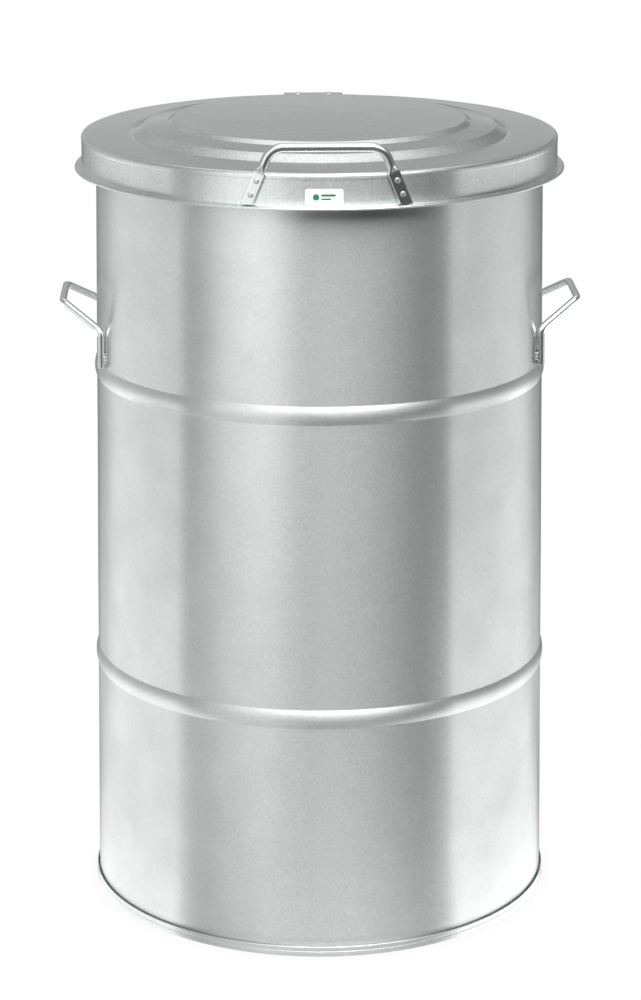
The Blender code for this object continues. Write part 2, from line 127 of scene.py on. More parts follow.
# Lid handle
BAR_RADIUS = 0.0050
BAR_HEIGHT = highest("lid_handle").z - BAR_RADIUS
BEND_RADIUS = 0.020
STRAP_WIDTH = 0.0130
STRAP_THICKNESS = 0.0030
STRAP_ANGLE = math.radians(16.5)
STRAP_LEAN = math.radians(22.9)
STRAP_CENTRE_HEIGHT = 0.8276
STRAP_FOOT_HEIGHT = LEDGE_HEIGHT + 0.0010
STRAP_FOOT_BEVEL = 0.0004
STRAP_BOTTOM = -0.0150
STRAP_TOP = 0.0160
BAR_START = 0.0265
CRIMP = 0.0008
STRAP_ROUNDNESS = 0.22
RIVET_HALF_SPACING = 0.0080

# Carrying handles
ROD_RADIUS = 0.0038
GRIP_OUT = highest("right_side_handle").x - ROD_RADIUS
GRIP_HEIGHT = highest("right_side_handle").z - ROD_RADIUS
FOOT_BOTTOM = lowest("right_side_handle").z
GRIP_HALF_LENGTH = 0.0440
FOOT_ANGLE = math.radians(17.2)
FOOT_TOP = 0.6350
ROD_BEND = 0.012
ROD_CHAMFER = 0.0005
BEAD_RADIUS = 0.0013
BEAD_FOOT = 0.001
BEAD_HEIGHT = 0.016
BEAD_RIPPLE = 0.22
BEAD_LUMPS = 4.5
BEAD_REACH = 0.80  # how far a bead lies from the rod's axis, as a share of the rod's radius

# Label: radii of its two faces, and the marks printed on it as their centre along the arc,
# centre height, half width, half height and corner radius
LABEL_BACK = SKIRT_RADIUS + 0.0001
LABEL_FACE = SKIRT_RADIUS + 0.0006
LABEL_CORNER = 0.0022
LABEL_MARKS = (
    (-0.0085, 0.0, 0.0034, 0.0034, 0.0034),
    (0.0045, 0.0019, 0.0075, 0.0012, 0.0006),
    (0.0020, -0.0021, 0.0050, 0.0009, 0.0005),
)
PRINT_SINK = 0.0001
PRINT_RISE = 0.00005

# Hinge
HINGE_Y = middle("hinge_pin").y
HINGE_Z = middle("hinge_pin").z
LEAF = 0.0012
BARREL_RADIUS = 0.0042
PIN_RADIUS = 0.0026
LID_LEAF_HALF_WIDTH = highest("hinge_lid_leaf").x
BODY_LEAF_HALF_WIDTH = highest("hinge_body_leaf").x
LID_LEAF_FRONT = lowest("hinge_lid_leaf").y
BODY_LEAF_FOOT = lowest("hinge_body_leaf").z
LEAF_LIFT = 0.0007
LID_LEAF_BEND = 0.012
WALL_LEAF_BEND = 0.0030
KNUCKLE_NOTCH = (0.030, 0.0135)
EDGE_BEVEL = 0.0003

# Rivets: head radius, head height
STRAP_RIVET = (0.0032, 0.0009)
LID_LEAF_RIVET = (0.0052, 0.0012)
BODY_LEAF_RIVET = (0.0040, 0.0018)
RIVET_SHANK = 0.0014


# --- Node graphs ----------------------------------------------------------------------


class Graph:
    """Short calls for building a node tree."""

    def __init__(self, tree):
        tree.nodes.clear()
        self.tree = tree

    def node(self, kind, inputs=None, **settings):
        node = self.tree.nodes.new(kind)
        for key, value in settings.items():
            setattr(node, key, value)
        for key, value in (inputs or {}).items():
            if isinstance(value, bpy.types.NodeSocket):
                self.tree.links.new(value, node.inputs[key])
            else:
                node.inputs[key].default_value = value
        return node

    def math(self, operation, *values):
        node = self.node("ShaderNodeMath", dict(enumerate(values)), operation=operation)
        return node.outputs[0]

    def mix(self, factor, first, second):
        return self.node("ShaderNodeMix", {0: factor, 2: first, 3: second}).outputs[0]

    def scaled(self, vector, factor):
        inputs = {0: vector, 3: factor}
        return self.node("ShaderNodeVectorMath", inputs, operation="SCALE").outputs[0]

    def distance_from_axis(self, position):
        inputs = {0: position, 1: (1, 1, 0)}
        flat = self.node("ShaderNodeVectorMath", inputs, operation="MULTIPLY").outputs[0]
        return self.node("ShaderNodeVectorMath", {0: flat}, operation="LENGTH").outputs["Value"]

    def ramp(self, value, start, end, first=0.0, last=1.0):
        """Eases from first to last as value goes from start to end."""
        inputs = {0: value, 1: start, 2: end, 3: first, 4: last}
        node = self.node("ShaderNodeMapRange", inputs, interpolation_type="SMOOTHSTEP")
        return node.outputs[0]

    def profile(self, value, stops):
        """Eases through (position, level) stops."""
        level = stops[0][1]
        for (start, low), (end, high) in zip(stops, stops[1:]):
            level = self.math("ADD", self.ramp(value, start, end, 0.0, high - low), level)
        return level

    def noise(self, coords, scale, detail=2.0, stretch=(1, 1, 1)):
        """Noise centred on zero, about half a unit each way."""
        placed = self.node("ShaderNodeMapping", {"Vector": coords, "Scale": stretch}).outputs[0]
        inputs = {"Vector": placed, "Scale": scale, "Detail": detail}
        found = self.node("ShaderNodeTexNoise", inputs).outputs[0]
        return self.math("SUBTRACT", found, 0.5)


# --- Materials ------------------------------------------------------------------------

ZINC = (0.845, 0.880, 0.868)
FINE_SCALE = 420.0
BROAD_SCALE = 22.0
MARK_SCALE = 160.0
MARK_STRETCH = (1, 1, 0.02)
# How far a face's normal points up, from where it counts as upright to where it counts as flat
UPRIGHT_TO_FLAT = (0.45, 0.85)


def metal(name, colour, roughness, upright=None, speckle=0.0, cloud=0.0, grain=0.0, streak=0.0):
    """Zinc-coated steel: mottled in colour and gloss, with a fine crystal relief.

    upright is the (roughness, anisotropy) of upright faces, which spread reflections up and
    down. speckle and cloud are the fine and broad mottling, grain is the height of the relief
    and streak the strength of thin drawing marks that run up and down.
    """
    material = bpy.data.materials.new(name)
    material.use_nodes = True
    graph = Graph(material.node_tree)
    coords = graph.node("ShaderNodeTexCoord").outputs["Object"]
    fine = graph.noise(coords, FINE_SCALE, 2.0)
    broad = graph.noise(coords, BROAD_SCALE, 3.0)
    marks = graph.noise(coords, MARK_SCALE, 3.0, stretch=MARK_STRETCH)
    shade = graph.math("MULTIPLY_ADD", fine, speckle, 1.0)
    shade = graph.math("MULTIPLY_ADD", broad, cloud, shade)
    shade = graph.math("MULTIPLY_ADD", marks, streak, shade)
    tint = graph.scaled(colour, shade)
    inputs = {"Base Color": tint, "Metallic": 1.0}
    if upright:
        tangent = graph.node("ShaderNodeTangent", direction_type="RADIAL", axis="Z").outputs[0]
        inputs.update({"Anisotropic Rotation": 0.25, "Tangent": tangent})
        facing = graph.node("ShaderNodeTexCoord").outputs["Normal"]
        up = graph.math("ABSOLUTE", graph.node("ShaderNodeSeparateXYZ", {0: facing}).outputs[2])
        inputs["Anisotropic"] = graph.ramp(up, *UPRIGHT_TO_FLAT, upright[1], 0.0)
        roughness = graph.ramp(up, *UPRIGHT_TO_FLAT, upright[0], roughness)
    gloss = graph.math("MULTIPLY_ADD", broad, -0.2 * cloud, roughness)
    gloss = graph.math("MULTIPLY_ADD", fine, 0.2 * speckle, gloss)
    relief = graph.math("MULTIPLY_ADD", marks, 2.0 * streak, fine)
    bump = graph.node("ShaderNodeBump", {"Strength": 1.0, "Distance": grain, "Height": relief})
    inputs.update({"Roughness": gloss, "Normal": bump.outputs[0]})
    shader = graph.node("ShaderNodeBsdfPrincipled", inputs)
    graph.node("ShaderNodeOutputMaterial", {"Surface": shader.outputs[0]})
    return material


def film(name, colour, roughness, glow=0.0):
    """Printed plastic film with a slight mottle and a clear gloss; glow is painted light, an emission
    that makes a white brighter than its lighting does.
    """
    material = bpy.data.materials.new(name)
    material.use_nodes = True
    graph = Graph(material.node_tree)
    coords = graph.node("ShaderNodeTexCoord").outputs["Object"]
    mottle = graph.noise(coords, 300.0, 2.0)
    shade = graph.math("MULTIPLY_ADD", mottle, 0.03, 1.0)
    tint = graph.scaled(colour, shade)
    gloss = graph.math("MULTIPLY_ADD", mottle, 0.1, roughness)
    inputs = {"Base Color": tint, "Roughness": gloss, "Coat Weight": 0.2}
    # The emission is painted light: it makes the film glow though it is no lamp.
    inputs.update({"Emission Color": (1.0, 1.0, 1.0, 1.0), "Emission Strength": glow})
    shader = graph.node("ShaderNodeBsdfPrincipled", inputs)
    graph.node("ShaderNodeOutputMaterial", {"Surface": shader.outputs[0]})
    return material


BODY_SHEET = metal(
    "body_sheet", ZINC, 0.34, (0.32, 1.0), speckle=0.28, cloud=0.18, grain=0.000008
)
LID_SHEET = metal(
    "lid_sheet", ZINC, 0.22, (0.32, 0.98), speckle=0.42, cloud=0.12, grain=0.000012, streak=0.14
)
BRIGHT_ROD = metal("bright_rod", ZINC, 0.24, speckle=0.06, cloud=0.05, grain=0.000004)
HINGE_STRIP = metal("hinge_strip", (0.74, 0.77, 0.76), 0.36, speckle=0.12, cloud=0.1, grain=0.00001)
RIVET_METAL = metal("rivet_metal", (0.76, 0.78, 0.77), 0.46, speckle=0.08, cloud=0.05, grain=0.00001)
# The white film's glow of 0.30 is painted light that brightens the label.
WHITE_FILM = film("white_film", (0.90, 0.91, 0.90), 0.35, glow=0.30)
GREEN_PRINT = film("green_print", (0.03, 0.32, 0.13), 0.40)


# --- Mesh building --------------------------------------------------------------------


def finished_mesh(name, vertices, faces):
    """A closed mesh with its faces out, smooth but for its sharp edges."""
    mesh = bpy.data.meshes.new(name)
    mesh.from_pydata(vertices, [], faces)
    work = bmesh.new()
    work.from_mesh(mesh)
    bmesh.ops.recalc_face_normals(work, faces=work.faces)
    work.to_mesh(mesh)
    work.free()
    mesh.shade_smooth()
    mesh.set_sharp_from_angle(angle=SHARP_ANGLE)
    return mesh


def add_piece(name, mesh, body, material, nodes=()):
    """Links a piece that rides on a body and stands in for the frame's nodes."""
    piece = bpy.data.objects.new(name, mesh)
    bpy.context.scene.collection.objects.link(piece)
    mesh.materials.clear()
    mesh.materials.append(material)
    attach(piece, body)
    if nodes:
        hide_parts(*nodes)
    return piece


def arc(centre_r, centre_z, radius, start, end):
    """Points on an arc in the (radius, height) plane, with its angles in degrees."""
    steps = max(2, math.ceil(abs(math.radians(end - start)) / ARC_STEP))
    points = []
    for step in range(steps + 1):
        angle = math.radians(start + (end - start) * step / steps)
        points.append((centre_r + radius * math.cos(angle), centre_z + radius * math.sin(angle)))
    return points


def filleted(corners):
    """A path through (radius, height, fillet) corners, with an arc at each inner corner."""
    points = [tuple(corners[0][:2])]
    for before, corner, after in zip(corners, corners[1:], corners[2:]):
        here = Vector(corner[:2])
        back = (Vector(before[:2]) - here).normalized()
        ahead = (Vector(after[:2]) - here).normalized()
        half = back.angle(ahead) / 2
        fillet = corner[2]
        if fillet == 0:
            points.append(tuple(here))
            continue
        centre = here + (back + ahead).normalized() * fillet / math.sin(half)
        start = here + back * fillet / math.tan(half) - centre
        end = here + ahead * fillet / math.tan(half) - centre
        turn = math.copysign(math.pi - 2 * half, start.x * end.y - start.y * end.x)
        steps = max(2, math.ceil(abs(turn) / ARC_STEP))
        for step in range(steps + 1):
            points.append(tuple(centre + Matrix.Rotation(turn * step / steps, 2) @ start))
    points.append(tuple(corners[-1][:2]))
    return points


def offset_path(path, distance):
    """The path moved sideways, to the right of its direction of travel."""
    moved = []
    for index, point in enumerate(path):
        here = Vector(point)
        before = Vector(path[max(index - 1, 0)])
        after = Vector(path[min(index + 1, len(path) - 1)])
        along_in = (here - before).normalized() if index else (after - here).normalized()
        along_out = (after - here).normalized() if index < len(path) - 1 else along_in
        normal = Vector((along_in.y + along_out.y, -along_in.x - along_out.x)).normalized()
        spread = max(normal.dot(Vector((along_in.y, -along_in.x))), 0.5)
        moved.append(tuple(here + normal * distance / spread))
    return moved


def refined(path):
    """The path with its long spans divided."""
    points = [path[0]]
    for start, end in zip(path, path[1:]):
        parts = max(1, math.ceil(math.dist(start, end) / LONGEST_SPAN))
        for part in range(1, parts + 1):
            points.append(tuple(Vector(start).lerp(Vector(end), part / parts)))
    return points


def turned_mesh(name, outline, closed=True, segments=SEGMENTS, waviness=None):
    """A mesh turned about Z. A point on the axis becomes a pole."""
    vertices = []
    rows = []
    for radius, height in outline:
        if radius < ON_AXIS:
            rows.append([len(vertices)] * segments)
            vertices.append((0.0, 0.0, height))
            continue
        rows.append(list(range(len(vertices), len(vertices) + segments)))
        for step in range(segments):
            angle = 2 * math.pi * step / segments
            shift = waviness(angle, radius, height) if waviness else Vector((0, 0))
            reach = radius + shift.x
            vertices.append((reach * math.cos(angle), reach * math.sin(angle), height + shift.y))
    faces = []
    for row, after in zip(rows, rows[1:] + rows[:1] if closed else rows[1:]):
        for i in range(segments):
            j = (i + 1) % segments
            corners = tuple(dict.fromkeys((row[i], row[j], after[j], after[i])))
            if len(corners) > 2:
                faces.append(corners)
    return finished_mesh(name, vertices, faces)


def loft_mesh(name, rings):
    """A closed mesh through rings with the same number of points, with flat ends."""
    count = len(rings[0])
    vertices = [tuple(point) for ring in rings for point in ring]
    faces = []
    for start in range(0, len(vertices) - count, count):
        for i in range(count):
            j = (i + 1) % count
            faces.append((start + i, start + j, start + count + j, start + count + i))
    faces.append(tuple(range(count)))
    faces.append(tuple(range(len(vertices) - count, len(vertices))))
    return finished_mesh(name, vertices, faces)


def tube_rings(path, radii, sides=24):
    """Round rings along a path, without twist."""
    across = None
    rings = []
    for index, (centre, radius) in enumerate(zip(path, radii)):
        before = path[max(index - 1, 0)]
        after = path[min(index + 1, len(path) - 1)]
        along = (after - before).normalized()
        if across is None:
            across = along.orthogonal().normalized()
        across = (across - along * across.dot(along)).normalized()
        over = along.cross(across)
        ring = []
        for step in range(sides):
            angle = 2 * math.pi * step / sides
            ring.append(centre + across * math.cos(angle) * radius + over * math.sin(angle) * radius)
        rings.append(ring)
    return rings


def joined(name, meshes):
    """One mesh that holds several."""
    work = bmesh.new()
    for mesh in meshes:
        work.from_mesh(mesh)
    whole = bpy.data.meshes.new(name)
    work.to_mesh(whole)
    work.free()
    for mesh in meshes:
        bpy.data.meshes.remove(mesh)
    whole.shade_smooth()
    whole.set_sharp_from_angle(angle=SHARP_ANGLE)
    return whole


# --- Body -----------------------------------------------------------------------------


def sheet_waviness(angle, radius, height):
    """The slight unevenness of rolled sheet, as a shift in (radius, height)."""
    where = Vector((math.cos(angle) * 2.2, math.sin(angle) * 2.2, height * 7.0))
    return Vector((noise.noise(where) * WALL_WAVE, 0.0))


def hoop(height):
    """The outer face of one pressed hoop, from its top edge down.

    A guard row above and below it keeps its shading off the plain wall.
    """
    guard = 0.0006
    points = [(BODY_RADIUS, height + HOOP_HALF_HEIGHT + guard)]
    steps = 20
    for step in range(steps + 1):
        share = 1 - 2 * step / steps
        rise = HOOP_BULGE * (1 - share * share)
        points.append((BODY_RADIUS + rise, height + HOOP_HALF_HEIGHT * share))
    points.append((BODY_RADIUS, height - HOOP_HALF_HEIGHT - guard))
    return points


def build_wall():
    """Drawn on the outer face, from the open end of the rim's curl down to the foot."""
    wire_side = RIM_CURL_RADIUS - SHEET
    path = arc(BODY_RADIUS + wire_side, RIM_TOP - RIM_CURL_RADIUS, wire_side, -120, 180)
    path += hoop(HOOP_HEIGHTS[1]) + hoop(HOOP_HEIGHTS[0])
    neck = BODY_RADIUS - NECK_DEPTH
    path += filleted(
        [
            (BODY_RADIUS, CHIME_HEIGHT + NECK_HEIGHT + NECK_FILLET, 0),
            (BODY_RADIUS, CHIME_HEIGHT + NECK_HEIGHT, NECK_FILLET),
            (neck, CHIME_HEIGHT + NECK_HEIGHT * 0.5, NECK_FILLET),
            (neck, WALL_FOOT, 0),
        ]
    )
    path = refined(path)
    outline = path + offset_path(path, SHEET)[::-1]
    mesh = turned_mesh("wall", outline, waviness=sheet_waviness)
    add_piece("wall", mesh, CAN, BODY_SHEET, ["body_shell"])


def build_base():
    """The floor, its down-turned edge, and the fold that comes up outside the wall's foot."""
    web = BODY_RADIUS - NECK_DEPTH - SHEET - GAP
    lower_face = FLOOR_HEIGHT - SHEET
    fold_inside = CHIME_RADIUS - SHEET
    corners = [
        (0.0, FLOOR_HEIGHT, 0),
        (web, FLOOR_HEIGHT, 0.0020),
        (web, SHEET, 0.0004),
        (fold_inside, SHEET, 0.0004),
        (fold_inside, CHIME_HEIGHT, 0.0002),
        (CHIME_RADIUS, CHIME_HEIGHT, 0.0005),
        (CHIME_RADIUS, GROOVE_HEIGHT + GROOVE_HALF_WIDTH, 0.0003),
        (CHIME_RADIUS - GROOVE_DEPTH, GROOVE_HEIGHT, 0.0002),
        (CHIME_RADIUS, GROOVE_HEIGHT - GROOVE_HALF_WIDTH, 0.0003),
        (CHIME_RADIUS, 0.0, 0.0007),
        (web - SHEET, 0.0, 0.0007),
        (web - SHEET, lower_face, 0.0012),
        (0.0, lower_face, 0),
    ]
    mesh = turned_mesh("base", filleted(corners))
    add_piece("base", mesh, CAN, BODY_SHEET, ["base_pan"])


def build_rim_wire():
    wire_radius = RIM_CURL_RADIUS - SHEET - GAP / 2
    centre_r = BODY_RADIUS + RIM_CURL_RADIUS - SHEET
    outline = arc(centre_r, RIM_TOP - RIM_CURL_RADIUS, wire_radius, 0, 360)[:-1]
    mesh = turned_mesh("rim_wire", outline, segments=192)
    add_piece("rim_wire", mesh, CAN, BRIGHT_ROD, ["top_rim_wire"])


def rounded_path(points, radius, steps):
    """A path through the points with each corner turned into an arc."""
    corners = [Vector(point) for point in points]
    path = [corners[0]]
    for before, corner, after in zip(corners, corners[1:], corners[2:]):
        to_before = (before - corner).normalized()
        to_after = (after - corner).normalized()
        half = to_before.angle(to_after) / 2
        centre = corner + (to_before + to_after).normalized() * radius / math.sin(half)
        start = (corner + to_before * radius / math.tan(half) - centre).normalized()
        end = (corner + to_after * radius / math.tan(half) - centre).normalized()
        for step in range(steps + 1):
            path.append(centre + start.slerp(end, step / steps) * radius)
    path.append(corners[-1])
    return path


def weld_beads(foot, outward):
    """Two lumpy beads, one down each side of a rod's foot, against the wall."""
    sideways = Vector((-outward.y, outward.x, 0))
    beads = []
    for hand in (-1, 1):
        path = []
        radii = []
        steps = 24
        for step in range(steps + 1):
            share = step / steps
            ripple = 1 + BEAD_RIPPLE * math.sin(share * math.tau * BEAD_LUMPS + hand)
            taper = math.sin(math.pi * min(max(share, 0.04), 0.96)) ** 0.35
            place = foot + sideways * hand * ROD_RADIUS * BEAD_REACH
            place = place - outward * ROD_RADIUS * BEAD_REACH
            path.append(place + Vector((0, 0, BEAD_FOOT + BEAD_HEIGHT * share)))
            radii.append(BEAD_RADIUS * ripple * taper)
        beads.append(loft_mesh("bead", tube_rings(path, radii, 12)))
    return beads


def build_carrying_handles():
    reach = BODY_RADIUS + ROD_RADIUS + GAP
    foot_x = reach * math.cos(FOOT_ANGLE)
    foot_y = reach * math.sin(FOOT_ANGLE)
    for side, name in ((-1, "left_side_handle"), (1, "right_side_handle")):
        points = [
            (side * foot_x, -foot_y, FOOT_BOTTOM),
            (side * foot_x, -foot_y, FOOT_TOP),
            (side * GRIP_OUT, -GRIP_HALF_LENGTH, GRIP_HEIGHT),
            (side * GRIP_OUT, GRIP_HALF_LENGTH, GRIP_HEIGHT),
            (side * foot_x, foot_y, FOOT_TOP),
            (side * foot_x, foot_y, FOOT_BOTTOM),
        ]
        path = rounded_path(points, ROD_BEND, 14)
        chamfer = Vector((0, 0, ROD_CHAMFER))
        path = [path[0], path[0] + chamfer] + path[1:-1] + [path[-1] + chamfer, path[-1]]
        radii = [ROD_RADIUS] * len(path)
        radii[0] = radii[-1] = ROD_RADIUS - ROD_CHAMFER
        meshes = [loft_mesh("rod", tube_rings(path, radii, 32))]
        for hand in (-1, 1):
            foot = Vector((side * foot_x, hand * foot_y, FOOT_BOTTOM))
            outward = Vector((foot.x, foot.y, 0)).normalized()
            meshes += weld_beads(foot, outward)
        mesh = joined(name + "_rod", meshes)
        add_piece(name + "_rod", mesh, CAN, BRIGHT_ROD, [name])


# --- Lid ------------------------------------------------------------------------------


def lid_waviness(angle, radius, height):
    """A skirt and edge that aren't quite true, and the small dents of the outer step's pressing."""
    around = Vector((math.cos(angle), math.sin(angle), 0))
    share = min(max((radius - SHOULDER_RADIUS) / (SKIRT_RADIUS - SHOULDER_RADIUS), 0.0), 1.0)
    where = around * 3.5 + Vector((0, 0, height * 20.0))
    wave = (noise.noise(where) * SKIRT_WAVE[0], noise.noise(where * 1.3) * SKIRT_WAVE[1])
    shift = Vector(wave) * share**4
    from_step = radius - (TREAD_FOOT_RADIUS + SHOULDER_RADIUS) / 2
    nearness = max(1 - (from_step / DENTED_WIDTH) ** 2, 0.0)
    dent = noise.noise(around * 11 + Vector((0, 0, radius * 90))) * DENT_DEPTH
    return shift + Vector((0, dent * nearness))


def build_lid():
    """Drawn on the top face, from the centre out to the folded edge."""
    fold_reach = SKIRT_RADIUS + FOLD_STAND
    steps = 12
    path = []
    for step in range(steps):
        share = step / steps
        path.append((CROWN_RADIUS * share, PLATEAU_TOP + CROWN * (1 - share**2)))
    path += filleted(
        [
            (CROWN_RADIUS, PLATEAU_TOP, 0),
            (PLATEAU_RADIUS, PLATEAU_TOP, 0.0020),
            (TREAD_RADIUS, TREAD_TOP, 0.0015),
            (TREAD_FOOT_RADIUS, TREAD_FOOT, 0.0030),
            (SHOULDER_RADIUS, SHOULDER_TOP - CREASE[0], 0.0008),
            (SHOULDER_RADIUS + CREASE[1], SHOULDER_TOP, 0.0020),
            (fold_reach, LID_TOP, FOLD_RADIUS),
            (fold_reach, LID_TOP - FOLD_DEPTH, 0.0008),
            (SKIRT_RADIUS, LID_TOP - FOLD_DEPTH - 0.0009, 0.0008),
            (SKIRT_RADIUS, LEDGE_HEIGHT, 0.0014),
            (EDGE_RADIUS - HEM_RADIUS, LEDGE_HEIGHT, 0),
        ]
    )
    path += arc(EDGE_RADIUS - HEM_RADIUS, LEDGE_HEIGHT - HEM_RADIUS, HEM_RADIUS, 90, -90)[1:]
    path.append((EDGE_RADIUS - HEM_DEPTH, LEDGE_HEIGHT - 2 * HEM_RADIUS))
    path = refined(path)
    under = offset_path(path, SHEET)
    under[0] = (0.0, PLATEAU_TOP + CROWN - SHEET)
    mesh = turned_mesh("lid_disc", path + under[::-1], waviness=lid_waviness)
    add_piece("lid_disc", mesh, LID, LID_SHEET, ["lid_shell"])


def strap_frame(side):
    """Outward normal, sideways direction and long direction of one flattened handle end."""
    angle = side * STRAP_ANGLE
    outward = Vector((math.sin(angle), -math.cos(angle), 0.0))
    sideways = Vector((math.cos(angle), math.sin(angle), 0.0)) * side
    along = Vector((0, 0, 1)) * math.cos(STRAP_LEAN) - sideways * math.sin(STRAP_LEAN)
    return outward, sideways, along


def strap_centre(side):
    """The middle of one flattened handle end."""
    outward = strap_frame(side)[0]
    reach = SKIRT_RADIUS + GAP + STRAP_THICKNESS / 2
    return outward * reach + Vector((0, 0, STRAP_CENTRE_HEIGHT))


def strap_section(share):
    """Half width, half thickness and roundness of the handle, from strap (0) to bar (1).

    A roundness of 1 makes an ellipse, and 0 a rectangle.
    """
    eased = share * share * (3 - 2 * share)
    half_width = STRAP_WIDTH / 2 + (BAR_RADIUS - STRAP_WIDTH / 2) * eased
    half_width -= CRIMP * math.sin(math.pi * share)
    half_thickness = STRAP_THICKNESS / 2 + (BAR_RADIUS - STRAP_THICKNESS / 2) * eased
    roundness = STRAP_ROUNDNESS + (1 - STRAP_ROUNDNESS) * eased
    return half_width, half_thickness, roundness


def section_ring(centre, across, outward, half_width, half_thickness, roundness, count=40):
    """Points round one cross-section of the handle."""
    ring = []
    for step in range(count):
        angle = 2 * math.pi * (step + 0.5) / count
        c, s = math.cos(angle), math.sin(angle)
        x = math.copysign(abs(c) ** roundness, c) * half_width
        y = math.copysign(abs(s) ** roundness, s) * half_thickness
        ring.append(centre + across * x + outward * y)
    return ring


def lid_handle_half(side):
    """Rings of one half of the handle, from the strap's foot to the start of the bar."""
    outward, sideways, along = strap_frame(side)
    across = outward.cross(along).normalized()
    base = strap_centre(side)
    half_width, half_thickness, roundness = strap_section(0)
    rings = []
    for rise, inset in ((0.0, STRAP_FOOT_BEVEL), (STRAP_FOOT_BEVEL, 0.0)):
        size = (half_width - inset, half_thickness - inset, roundness)
        level = STRAP_FOOT_HEIGHT + rise
        ring = section_ring(base, across, outward, *size)
        rings.append([point + along * ((level - point.z) / along.z) for point in ring])
    rings.append(section_ring(base + along * STRAP_BOTTOM, across, outward, *strap_section(0)))
    steps = 14
    for step in range(steps + 1):
        share = step / steps
        distance = STRAP_TOP + (BAR_START - STRAP_TOP) * share
        rings.append(section_ring(base + along * distance, across, outward, *strap_section(share)))
    corner = base + along * ((BAR_HEIGHT - STRAP_CENTRE_HEIGHT) / math.cos(STRAP_LEAN))
    bar = Vector((-side, 0, 0))
    turn = along.angle(bar)
    start = corner - along * BEND_RADIUS * math.tan(turn / 2)
    towards = (bar - along * bar.dot(along)).normalized()
    steps = 16
    for step in range(steps + 1):
        angle = turn * step / steps
        centre = start + along * math.sin(angle) * BEND_RADIUS
        centre += towards * (1 - math.cos(angle)) * BEND_RADIUS
        heading = along * math.cos(angle) + towards * math.sin(angle)
        ring_across = (outward.cross(heading)).normalized()
        ring_out = heading.cross(ring_across)
        rings.append(section_ring(centre, ring_across, ring_out, *strap_section(1)))
    return rings


def build_lid_handle():
    left = lid_handle_half(-1)
    mirror = Matrix.Scale(-1, 3, Vector((1, 0, 0)))
    right = [[mirror @ point for point in ring] for ring in left[::-1]]
    mesh = loft_mesh("lid_bar", left + right)
    add_piece("lid_bar", mesh, LID, BRIGHT_ROD, ["lid_handle"])


def rivet_mesh(name, head_radius, head_height, shank):
    """A low dome with a soft rim, on a short shank that runs into the sheet."""
    crown = head_radius * 0.86
    rim_height = head_height * 0.35
    shank_radius = head_radius * 0.6
    outline = [(0.0, head_height)]
    steps = 8
    for step in range(1, steps + 1):
        share = step / steps
        outline.append((crown * share, head_height * (1 - 0.45 * share**2.5)))
    rim = [(*outline[-1], 0), (head_radius, rim_height, 0.0003), (head_radius, 0, 0)]
    outline += filleted(rim)[1:]
    outline += [(shank_radius, 0.0), (shank_radius, -shank), (0.0, -shank)]
    return turned_mesh(name, outline, closed=False, segments=40)


def add_rivet(node, seat, direction, sizes, body):
    """A rivet whose head sits on the seat point and faces along direction."""
    name = node.replace("rivet", "dome")
    mesh = rivet_mesh(name, *sizes, RIVET_SHANK)
    turn = Vector(direction).to_track_quat("Z", "Y").to_matrix().to_4x4()
    mesh.transform(Matrix.Translation(seat) @ turn)
    add_piece(name, mesh, body, RIVET_METAL, [node])


def build_strap_rivets():
    for side, hand in ((-1, "left"), (1, "right")):
        outward, _, along = strap_frame(side)
        for shift, level in ((RIVET_HALF_SPACING, "upper"), (-RIVET_HALF_SPACING, "lower")):
            seat = strap_centre(side) + outward * (STRAP_THICKNESS / 2) + along * shift
            add_rivet("handle_rivet_%s_%s" % (hand, level), seat, outward, STRAP_RIVET, LID)


def curved_plate(name, centre, half_size, corner, inner, outer):
    """A plate with rounded corners bent round Z: centre and half_size are (arc length, height)."""
    half_width, half_height = half_size
    steps = 48
    rings = []
    for step in range(steps + 1):
        u = -half_width * math.cos(math.pi * step / steps)
        into_corner = max(abs(u) - (half_width - corner), 0.0)
        v = half_height - corner + math.sqrt(max(corner**2 - into_corner**2, 0.0))
        v = max(v, 1e-5)
        angle = (centre[0] + u) / outer
        ring = []
        for radius, height in ((outer, v), (outer, -v), (inner, -v), (inner, v)):
            ring.append((radius * math.sin(angle), -radius * math.cos(angle), centre[1] + height))
        rings.append(ring)
    return loft_mesh(name, rings)


def build_label():
    """A white film with a plain green dot and two bars printed on it."""
    low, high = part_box("lid_label")
    centre = ((low.x + high.x) / 2, (low.z + high.z) / 2)
    half_size = ((high.x - low.x) / 2, (high.z - low.z) / 2)
    mesh = curved_plate("label_film", centre, half_size, LABEL_CORNER, LABEL_BACK, LABEL_FACE)
    add_piece("label_film", mesh, LID, WHITE_FILM, ["lid_label"])
    print_back = LABEL_FACE - PRINT_SINK
    print_face = LABEL_FACE + PRINT_RISE
    marks = []
    for along, up, half_width, half_height, corner in LABEL_MARKS:
        place = (centre[0] + along, centre[1] + up)
        size = (half_width, half_height)
        marks.append(curved_plate("mark", place, size, corner, print_back, print_face))
    add_piece("label_print", joined("label_print", marks), LID, GREEN_PRINT)


# --- Hinge ----------------------------------------------------------------------------


def applied(piece):
    """Replaces the piece's mesh by the one its modifiers make."""
    evaluated = piece.evaluated_get(bpy.context.evaluated_depsgraph_get())
    mesh = bpy.data.meshes.new_from_object(evaluated)
    piece.modifiers.clear()
    piece.data = mesh
    mesh.shade_smooth()
    mesh.set_sharp_from_angle(angle=LEAF_SHARP_ANGLE)


